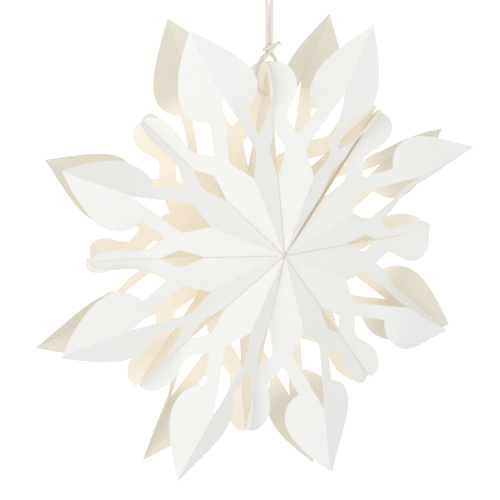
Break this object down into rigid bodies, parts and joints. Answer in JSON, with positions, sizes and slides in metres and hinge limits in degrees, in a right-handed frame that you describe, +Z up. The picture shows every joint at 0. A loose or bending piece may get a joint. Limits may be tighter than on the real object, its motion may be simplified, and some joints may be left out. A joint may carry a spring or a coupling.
{
  "type": "paper snowflake star",
  "caption": "hanging paper snowflake star with folded hollow rays on glued radial webs, cut leaf tips and round lobes, folding flat like a fan, on a cotton twine loop",
  "frame": {"origin": "top of the hanging loop, where a hook takes it", "axes": "+Z up along the twine; the hub line runs along Y, and the front of the star faces -Y; +X is to the right seen from the front"},
  "size_m": [0.2742, 0.0692, 0.3143],
  "materials": {
    "outer_card": "matt white card",
    "web_card": "matt card seen inside, warmer",
    "cotton_twine": "twisted natural cotton",
    "adhesive_pad": "foam adhesive pad"
  },
  "bodies": {
    "twine_loop": {"hanging_loop": "cotton_twine"},
    "star_hub": {"web_7": "web_card", "web_sling": "cotton_twine", "twine_knot": "cotton_twine", "twine_tail_upper": "cotton_twine", "twine_tail_lower": "cotton_twine"},
    "end_web_first_leaf": {"end_web_first": "web_card"},
    "web_1_leaf": {"web_1": "web_card"},
    "web_2_leaf": {"web_2": "web_card"},
    "web_3_leaf": {"web_3": "web_card"},
    "web_4_leaf": {"web_4": "web_card"},
    "web_5_leaf": {"web_5": "web_card"},
    "web_6_leaf": {"web_6": "web_card"},
    "end_web_last_leaf": {"end_web_last": "web_card", "closing_pad_1": "adhesive_pad", "closing_pad_2": "adhesive_pad"},
    "ray_1_front_left_flap": {"ray_1_front_left": "outer_card"},
    "ray_1_front_right_flap": {"ray_1_front_right": "outer_card"},
    "ray_1_back_left_flap": {"ray_1_back_left": "outer_card"},
    "ray_1_back_right_flap": {"ray_1_back_right": "outer_card"},
    "ray_2_front_left_flap": {"ray_2_front_left": "outer_card"},
    "ray_2_front_right_flap": {"ray_2_front_right": "outer_card"},
    "ray_2_back_left_flap": {"ray_2_back_left": "outer_card"},
    "ray_2_back_right_flap": {"ray_2_back_right": "outer_card"},
    "ray_3_front_left_flap": {"ray_3_front_left": "outer_card"},
    "ray_3_front_right_flap": {"ray_3_front_right": "outer_card"},
    "ray_3_back_left_flap": {"ray_3_back_left": "outer_card"},
    "ray_3_back_right_flap": {"ray_3_back_right": "outer_card"},
    "ray_4_front_left_flap": {"ray_4_front_left": "outer_card"},
    "ray_4_front_right_flap": {"ray_4_front_right": "outer_card"},
    "ray_4_back_left_flap": {"ray_4_back_left": "outer_card"},
    "ray_4_back_right_flap": {"ray_4_back_right": "outer_card"},
    "ray_5_front_left_flap": {"ray_5_front_left": "outer_card"},
    "ray_5_front_right_flap": {"ray_5_front_right": "outer_card"},
    "ray_5_back_left_flap": {"ray_5_back_left": "outer_card"},
    "ray_5_back_right_flap": {"ray_5_back_right": "outer_card"},
    "ray_6_front_left_flap": {"ray_6_front_left": "outer_card"},
    "ray_6_front_right_flap": {"ray_6_front_right": "outer_card"},
    "ray_6_back_left_flap": {"ray_6_back_left": "outer_card"},
    "ray_6_back_right_flap": {"ray_6_back_right": "outer_card"},
    "ray_7_front_left_flap": {"ray_7_front_left": "outer_card"},
    "ray_7_front_right_flap": {"ray_7_front_right": "outer_card"},
    "ray_7_back_left_flap": {"ray_7_back_left": "outer_card"},
    "ray_7_back_right_flap": {"ray_7_back_right": "outer_card"},
    "ray_8_front_left_flap": {"ray_8_front_left": "outer_card"},
    "ray_8_front_right_flap": {"ray_8_front_right": "outer_card"},
    "ray_8_back_left_flap": {"ray_8_back_left": "outer_card"},
    "ray_8_back_right_flap": {"ray_8_back_right": "outer_card"}
  },
  "joints": [
    {"name": "turn_on_twine", "type": "hinge", "parent": "twine_loop", "child": "star_hub", "pos_m": [0, 0, -0.05115], "axis": [0, 0, 1], "range_deg": [-180, 180]},
    {"name": "fold_fan", "type": "hinge", "parent": "star_hub", "child": "end_web_first_leaf", "pos_m": [-0.00641, 0, -0.17348], "axis": [0, 1, 0], "range_deg": [0, 244.86]},
    {"name": "fold_web_1", "type": "hinge", "parent": "star_hub", "child": "web_1_leaf", "pos_m": [-0.00641, 0, -0.17348], "axis": [0, 1, 0], "range_deg": [0, 211.48]},
    {"name": "fold_web_2", "type": "hinge", "parent": "star_hub", "child": "web_2_leaf", "pos_m": [-0.00641, 0, -0.17348], "axis": [0, 1, 0], "range_deg": [0, 172.98]},
    {"name": "fold_web_3", "type": "hinge", "parent": "star_hub", "child": "web_3_leaf", "pos_m": [-0.00641, 0, -0.17348], "axis": [0, 1, 0], "range_deg": [0, 137.56]},
    {"name": "fold_web_4", "type": "hinge", "parent": "star_hub", "child": "web_4_leaf", "pos_m": [-0.00641, 0, -0.17348], "axis": [0, 1, 0], "range_deg": [0, 105.99]},
    {"name": "fold_web_5", "type": "hinge", "parent": "star_hub", "child": "web_5_leaf", "pos_m": [-0.00641, 0, -0.17348], "axis": [0, 1, 0], "range_deg": [0, 72.11]},
    {"name": "fold_web_6", "type": "hinge", "parent": "star_hub", "child": "web_6_leaf", "pos_m": [-0.00641, 0, -0.17348], "axis": [0, 1, 0], "range_deg": [0, 36.3]},
    {"name": "fold_end_web_last", "type": "hinge", "parent": "star_hub", "child": "end_web_last_leaf", "pos_m": [-0.00641, 0, -0.17348], "axis": [0, -1, 0], "range_deg": [0, 32.84]},
    {"name": "fold_ray_1_front_left", "type": "hinge", "parent": "end_web_first_leaf", "child": "ray_1_front_left_flap", "pos_m": [-0.00579, -0.036, -0.1741], "axis": [-0.674, -0.3023, -0.674], "range_deg": [0, 59.36]},
    {"name": "fold_ray_1_front_right", "type": "hinge", "parent": "web_1_leaf", "child": "ray_1_front_right_flap", "pos_m": [-0.00642, -0.036, -0.17291], "axis": [0.9531, 0.3023, 0.0166], "range_deg": [0, 59.36]},
    {"name": "fold_ray_1_back_left", "type": "hinge", "parent": "end_web_first_leaf", "child": "ray_1_back_left_flap", "pos_m": [-0.00579, 0.036, -0.1741], "axis": [0.674, -0.3023, 0.674], "range_deg": [0, 59.36]},
    {"name": "fold_ray_1_back_right", "type": "hinge", "parent": "web_1_leaf", "child": "ray_1_back_right_flap", "pos_m": [-0.00642, 0.036, -0.17291], "axis": [-0.9531, 0.3023, -0.0166], "range_deg": [0, 59.36]},
    {"name": "fold_ray_2_front_left", "type": "hinge", "parent": "web_1_leaf", "child": "ray_2_front_left_flap", "pos_m": [-0.0064, -0.036, -0.17406], "axis": [-0.9531, -0.3023, -0.0166], "range_deg": [0, 70.71]},
    {"name": "fold_ray_2_front_right", "type": "hinge", "parent": "web_2_leaf", "child": "ray_2_front_right_flap", "pos_m": [-0.00598, -0.036, -0.17311], "axis": [0.6254, 0.3023, -0.7194], "range_deg": [0, 70.71]},
    {"name": "fold_ray_2_back_left", "type": "hinge", "parent": "web_1_leaf", "child": "ray_2_back_left_flap", "pos_m": [-0.0064, 0.036, -0.17406], "axis": [0.9531, -0.3023, 0.0166], "range_deg": [0, 70.71]},
    {"name": "fold_ray_2_back_right", "type": "hinge", "parent": "web_2_leaf", "child": "ray_2_back_right_flap", "pos_m": [-0.00598, 0.036, -0.17311], "axis": [-0.6254, 0.3023, 0.7194], "range_deg": [0, 70.71]},
    {"name": "fold_ray_3_front_left", "type": "hinge", "parent": "web_2_leaf", "child": "ray_3_front_left_flap", "pos_m": [-0.00685, -0.036, -0.17386], "axis": [-0.6254, -0.3023, 0.7194], "range_deg": [0, 63.05]},
    {"name": "fold_ray_3_front_right", "type": "hinge", "parent": "web_3_leaf", "child": "ray_3_front_right_flap", "pos_m": [-0.00584, -0.036, -0.17353], "axis": [-0.0831, 0.3023, -0.9496], "range_deg": [0, 63.05]},
    {"name": "fold_ray_3_back_left", "type": "hinge", "parent": "web_2_leaf", "child": "ray_3_back_left_flap", "pos_m": [-0.00685, 0.036, -0.17386], "axis": [0.6254, -0.3023, -0.7194], "range_deg": [0, 63.05]},
    {"name": "fold_ray_3_back_right", "type": "hinge", "parent": "web_3_leaf", "child": "ray_3_back_right_flap", "pos_m": [-0.00584, 0.036, -0.17353], "axis": [0.0831, 0.3023, 0.9496], "range_deg": [0, 63.05]},
    {"name": "fold_ray_4_front_left", "type": "hinge", "parent": "web_3_leaf", "child": "ray_4_front_left_flap", "pos_m": [-0.00698, -0.036, -0.17343], "axis": [0.0831, -0.3023, 0.9496], "range_deg": [0, 54.03]},
    {"name": "fold_ray_4_front_right", "type": "hinge", "parent": "web_4_leaf", "child": "ray_4_front_right_flap", "pos_m": [-0.00601, -0.036, -0.1739], "axis": [-0.6857, 0.3023, -0.6621], "range_deg": [0, 54.03]},
    {"name": "fold_ray_4_back_left", "type": "hinge", "parent": "web_3_leaf", "child": "ray_4_back_left_flap", "pos_m": [-0.00698, 0.036, -0.17343], "axis": [-0.0831, -0.3023, -0.9496], "range_deg": [0, 54.03]},
    {"name": "fold_ray_4_back_right", "type": "hinge", "parent": "web_4_leaf", "child": "ray_4_back_right_flap", "pos_m": [-0.00601, 0.036, -0.1739], "axis": [0.6857, 0.3023, 0.6621], "range_deg": [0, 54.03]},
    {"name": "fold_ray_5_front_left", "type": "hinge", "parent": "web_4_leaf", "child": "ray_5_front_left_flap", "pos_m": [-0.00681, -0.036, -0.17307], "axis": [0.6857, -0.3023, 0.6621], "range_deg": [0, 59.36]},
    {"name": "fold_ray_5_front_right", "type": "hinge", "parent": "web_5_leaf", "child": "ray_5_front_right_flap", "pos_m": [-0.00641, -0.036, -0.17406], "axis": [-0.9532, 0.3023, 0], "range_deg": [0, 59.36]},
    {"name": "fold_ray_5_back_left", "type": "hinge", "parent": "web_4_leaf", "child": "ray_5_back_left_flap", "pos_m": [-0.00681, 0.036, -0.17307], "axis": [-0.6857, -0.3023, -0.6621], "range_deg": [0, 59.36]},
    {"name": "fold_ray_5_back_right", "type": "hinge", "parent": "web_5_leaf", "child": "ray_5_back_right_flap", "pos_m": [-0.00641, 0.036, -0.17406], "axis": [0.9532, 0.3023, 0], "range_deg": [0, 59.36]},
    {"name": "fold_ray_6_front_left", "type": "hinge", "parent": "web_5_leaf", "child": "ray_6_front_left_flap", "pos_m": [-0.00641, -0.036, -0.17291], "axis": [0.9532, -0.3023, 0], "range_deg": [0, 63.98]},
    {"name": "fold_ray_6_front_right", "type": "hinge", "parent": "web_6_leaf", "child": "ray_6_front_right_flap", "pos_m": [-0.00683, -0.036, -0.17388], "axis": [-0.6561, 0.3023, 0.6914], "range_deg": [0, 63.98]},
    {"name": "fold_ray_6_back_left", "type": "hinge", "parent": "web_5_leaf", "child": "ray_6_back_left_flap", "pos_m": [-0.00641, 0.036, -0.17291], "axis": [-0.9532, -0.3023, 0], "range_deg": [0, 63.98]},
    {"name": "fold_ray_6_back_right", "type": "hinge", "parent": "web_6_leaf", "child": "ray_6_back_right_flap", "pos_m": [-0.00683, 0.036, -0.17388], "axis": [0.6561, 0.3023, -0.6914], "range_deg": [0, 63.98]},
    {"name": "fold_ray_7_front_left", "type": "hinge", "parent": "web_6_leaf", "child": "ray_7_front_left_flap", "pos_m": [-0.00599, -0.036, -0.17309], "axis": [0.6561, -0.3023, -0.6914], "range_deg": [0, 63.98]},
    {"name": "fold_ray_7_front_right", "type": "hinge", "parent": "star_hub", "child": "ray_7_front_right_flap", "pos_m": [-0.00698, -0.036, -0.17345], "axis": [0.0499, 0.3023, 0.9519], "range_deg": [0, 63.98]},
    {"name": "fold_ray_7_back_left", "type": "hinge", "parent": "web_6_leaf", "child": "ray_7_back_left_flap", "pos_m": [-0.00599, 0.036, -0.17309], "axis": [-0.6561, -0.3023, 0.6914], "range_deg": [0, 63.98]},
    {"name": "fold_ray_7_back_right", "type": "hinge", "parent": "star_hub", "child": "ray_7_back_right_flap", "pos_m": [-0.00698, 0.036, -0.17345], "axis": [-0.0499, 0.3023, -0.9519], "range_deg": [0, 63.98]},
    {"name": "fold_ray_8_front_left", "type": "hinge", "parent": "star_hub", "child": "ray_8_front_left_flap", "pos_m": [-0.00584, -0.036, -0.17351], "axis": [-0.0499, -0.3023, -0.9519], "range_deg": [0, 55.78]},
    {"name": "fold_ray_8_front_right", "type": "hinge", "parent": "end_web_last_leaf", "child": "ray_8_front_right_flap", "pos_m": [-0.00703, -0.036, -0.17286], "axis": [0.674, 0.3023, 0.674], "range_deg": [0, 55.78]},
    {"name": "fold_ray_8_back_left", "type": "hinge", "parent": "star_hub", "child": "ray_8_back_left_flap", "pos_m": [-0.00584, 0.036, -0.17351], "axis": [0.0499, -0.3023, 0.9519], "range_deg": [0, 55.78]},
    {"name": "fold_ray_8_back_right", "type": "hinge", "parent": "end_web_last_leaf", "child": "ray_8_back_right_flap", "pos_m": [-0.00703, 0.036, -0.17286], "axis": [-0.674, 0.3023, -0.674], "range_deg": [0, 55.78]}
  ],
  "couplings": [
    {"joint": "fold_web_1", "follows": "fold_fan", "ratio": 0.86164},
    {"joint": "fold_web_2", "follows": "fold_fan", "ratio": 0.7044},
    {"joint": "fold_web_3", "follows": "fold_fan", "ratio": 0.55975},
    {"joint": "fold_web_4", "follows": "fold_fan", "ratio": 0.43082},
    {"joint": "fold_web_5", "follows": "fold_fan", "ratio": 0.29245},
    {"joint": "fold_web_6", "follows": "fold_fan", "ratio": 0.14623},
    {"joint": "fold_end_web_last", "follows": "fold_fan", "ratio": 0.13207},
    {"joint": "fold_ray_1_front_left", "follows": "fold_fan", "ratio": 0.24122},
    {"joint": "fold_ray_1_front_right", "follows": "fold_fan", "ratio": 0.24122},
    {"joint": "fold_ray_1_back_left", "follows": "fold_fan", "ratio": 0.24122},
    {"joint": "fold_ray_1_back_right", "follows": "fold_fan", "ratio": 0.24122},
    {"joint": "fold_ray_2_front_left", "follows": "fold_fan", "ratio": 0.28757},
    {"joint": "fold_ray_2_front_right", "follows": "fold_fan", "ratio": 0.28757},
    {"joint": "fold_ray_2_back_left", "follows": "fold_fan", "ratio": 0.28757},
    {"joint": "fold_ray_2_back_right", "follows": "fold_fan", "ratio": 0.28757},
    {"joint": "fold_ray_3_front_left", "follows": "fold_fan", "ratio": 0.25625},
    {"joint": "fold_ray_3_front_right", "follows": "fold_fan", "ratio": 0.25625},
    {"joint": "fold_ray_3_back_left", "follows": "fold_fan", "ratio": 0.25625},
    {"joint": "fold_ray_3_back_right", "follows": "fold_fan", "ratio": 0.25625},
    {"joint": "fold_ray_4_front_left", "follows": "fold_fan", "ratio": 0.21942},
    {"joint": "fold_ray_4_front_right", "follows": "fold_fan", "ratio": 0.21942},
    {"joint": "fold_ray_4_back_left", "follows": "fold_fan", "ratio": 0.21942},
    {"joint": "fold_ray_4_back_right", "follows": "fold_fan", "ratio": 0.21942},
    {"joint": "fold_ray_5_front_left", "follows": "fold_fan", "ratio": 0.24122},
    {"joint": "fold_ray_5_front_right", "follows": "fold_fan", "ratio": 0.24122},
    {"joint": "fold_ray_5_back_left", "follows": "fold_fan", "ratio": 0.24122},
    {"joint": "fold_ray_5_back_right", "follows": "fold_fan", "ratio": 0.24122},
    {"joint": "fold_ray_6_front_left", "follows": "fold_fan", "ratio": 0.26007},
    {"joint": "fold_ray_6_front_right", "follows": "fold_fan", "ratio": 0.26007},
    {"joint": "fold_ray_6_back_left", "follows": "fold_fan", "ratio": 0.26007},
    {"joint": "fold_ray_6_back_right", "follows": "fold_fan", "ratio": 0.26007},
    {"joint": "fold_ray_7_front_left", "follows": "fold_fan", "ratio": 0.26007},
    {"joint": "fold_ray_7_front_right", "follows": "fold_fan", "ratio": 0.26007},
    {"joint": "fold_ray_7_back_left", "follows": "fold_fan", "ratio": 0.26007},
    {"joint": "fold_ray_7_back_right", "follows": "fold_fan", "ratio": 0.26007},
    {"joint": "fold_ray_8_front_left", "follows": "fold_fan", "ratio": 0.22659},
    {"joint": "fold_ray_8_front_right", "follows": "fold_fan", "ratio": 0.22659},
    {"joint": "fold_ray_8_back_left", "follows": "fold_fan", "ratio": 0.22659},
    {"joint": "fold_ray_8_back_right", "follows": "fold_fan", "ratio": 0.22659}
  ]
}
